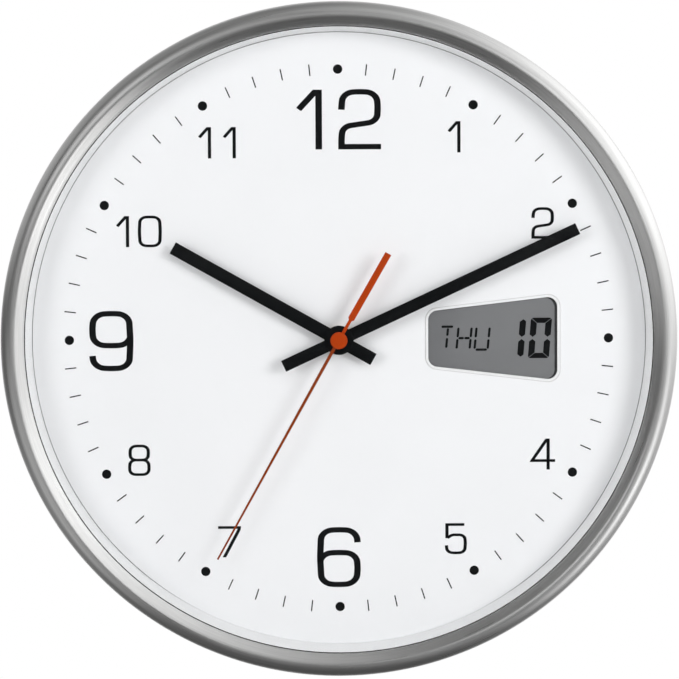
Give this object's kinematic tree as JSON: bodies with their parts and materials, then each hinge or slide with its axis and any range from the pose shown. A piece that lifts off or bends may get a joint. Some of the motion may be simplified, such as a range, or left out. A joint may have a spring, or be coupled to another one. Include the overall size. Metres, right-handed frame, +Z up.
{
  "type": "wall clock",
  "caption": "Round wall clock with an aluminium rim, flat glass, a plain dial, three hands and a small liquid crystal window for the weekday and the date.",
  "frame": {"origin": "centre of the whole clock's bounding box, on the axis of the hands, halfway through its depth", "axes": "-Y towards the viewer out of the dial, +Y into the wall, +Z up towards 12 on the dial, +X to the viewer's right towards 3"},
  "size_m": [0.32, 0.0434, 0.32],
  "materials": {
    "brushed_aluminium": "fine brushing round the rim, clear anodised",
    "clear_glass": "polished flat glass",
    "display_glass": "thin display glass",
    "polariser_film": "grey film with a fine anti-glare surface",
    "reflector_film": "satin silver film",
    "white_plastic": "moulded, satin",
    "dial_white": "matt white paint with printed marks",
    "grey_plastic": "moulded, matt",
    "case_plastic": "moulded with a fine grain",
    "black_plastic": "moulded with a fine grain",
    "cover_plastic": "moulded with a fine grain",
    "button_plastic": "moulded, light grey",
    "movement_plastic": "moulded, satin black",
    "natural_plastic": "uncoloured acetal",
    "knob_plastic": "moulded, light",
    "steel": "bright plated",
    "stator_steel": "stamped sheet",
    "magnet": "sintered",
    "copper_wire": "enamelled winding",
    "brass": "turned",
    "rubber": "matt",
    "silicone": "soft, grey",
    "circuit_board": "green solder mask",
    "chip_black": "matt epoxy",
    "cell_jacket": "plain printed sleeve over steel",
    "black_paint": "matt black paint",
    "orange_paint": "satin orange paint"
  },
  "bodies": {
    "case": {"rim": "brushed_aluminium", "glass": "clear_glass", "rehaut": "white_plastic", "dial": "dial_white", "window_frame": "white_plastic", "dial_support": "grey_plastic", "back_case": "case_plastic", "rim_screws": "steel", "lcd_front_polariser": "polariser_film", "lcd_front_glass": "display_glass", "lcd_rear_glass": "display_glass", "lcd_reflector": "reflector_film", "lcd_holder": "black_plastic", "zebra_strips": "silicone", "calendar_board": "circuit_board", "calendar_chip": "chip_black", "calendar_crystal": "steel", "calendar_housing": "black_plastic", "calendar_cell": "cell_jacket", "calendar_cell_spring": "steel", "calendar_cell_contact": "steel", "module_screws": "steel", "set_dome": "silicone", "adjust_dome": "silicone", "movement_front": "movement_plastic", "movement_middle": "natural_plastic", "movement_rear": "movement_plastic", "dial_washer": "rubber", "hex_nut": "brass", "stator": "stator_steel", "coil_core": "stator_steel", "coil_bobbin": "natural_plastic", "coil_winding": "copper_wire", "movement_board": "circuit_board", "movement_chip": "chip_black", "movement_crystal": "steel", "aa_cell": "cell_jacket", "cell_spring": "steel", "cell_contact": "steel"},
    "seconds": {"seconds_wheel": "natural_plastic", "seconds_hand": "orange_paint", "seconds_cap": "orange_paint"},
    "rotor": {"rotor_magnet": "magnet", "rotor_pinion": "natural_plastic"},
    "intermediate": {"intermediate_wheel": "natural_plastic"},
    "third": {"third_wheel": "natural_plastic"},
    "centre": {"centre_wheel": "natural_plastic"},
    "minute": {"minute_pipe": "natural_plastic", "minute_hand": "black_paint", "hub_cover": "black_paint"},
    "setting": {"minute_wheel": "natural_plastic", "setting_knob": "knob_plastic"},
    "hour": {"hour_wheel": "natural_plastic", "hour_hand": "black_paint"},
    "set_key": {"set_button": "button_plastic"},
    "adjust_key": {"adjust_button": "button_plastic"},
    "cover": {"calendar_cover": "cover_plastic"}
  },
  "joints": [
    {"name": "seconds_spin", "type": "hinge", "parent": "case", "child": "seconds", "pos_m": [0, 0, 0], "axis": [0, 1, 0], "continuous": true},
    {"name": "rotor_spin", "type": "hinge", "parent": "case", "child": "rotor", "pos_m": [0, 0, 0.01572], "axis": [0, 1, 0], "continuous": true},
    {"name": "intermediate_spin", "type": "hinge", "parent": "case", "child": "intermediate", "pos_m": [0, 0, 0.00924], "axis": [0, 1, 0], "continuous": true},
    {"name": "third_spin", "type": "hinge", "parent": "case", "child": "third", "pos_m": [-0.0092, 0, 0], "axis": [0, 1, 0], "continuous": true},
    {"name": "centre_spin", "type": "hinge", "parent": "case", "child": "centre", "pos_m": [0, 0, 0], "axis": [0, 1, 0], "continuous": true},
    {"name": "minute_spin", "type": "hinge", "parent": "case", "child": "minute", "pos_m": [0, 0, 0], "axis": [0, 1, 0], "continuous": true},
    {"name": "setting_spin", "type": "hinge", "parent": "case", "child": "setting", "pos_m": [0.0104, 0, 0], "axis": [0, 1, 0], "continuous": true},
    {"name": "hour_spin", "type": "hinge", "parent": "case", "child": "hour", "pos_m": [0, 0, 0], "axis": [0, 1, 0], "continuous": true},
    {"name": "set_press", "type": "slide", "parent": "case", "child": "set_key", "axis": [0, -1, 0], "range_m": [0, 0.0008], "stiffness_N_per_m": 800, "springref_m": -0.0005, "deforming": ["set_dome"]},
    {"name": "adjust_press", "type": "slide", "parent": "case", "child": "adjust_key", "axis": [0, -1, 0], "range_m": [0, 0.0008], "stiffness_N_per_m": 800, "springref_m": -0.0005, "deforming": ["adjust_dome"]},
    {"name": "cover_slide", "type": "slide", "parent": "case", "child": "cover", "axis": [0, 0, 1], "range_m": [0, 0.012]}
  ],
  "couplings": [
    {"joint": "rotor_spin", "follows": "seconds_spin", "ratio": 30},
    {"joint": "intermediate_spin", "follows": "seconds_spin", "ratio": -6},
    {"joint": "third_spin", "follows": "seconds_spin", "ratio": -0.13333},
    {"joint": "centre_spin", "follows": "seconds_spin", "ratio": 0.016667},
    {"joint": "setting_spin", "follows": "minute_spin", "ratio": -0.33333},
    {"joint": "hour_spin", "follows": "minute_spin", "ratio": 0.083333}
  ]
}
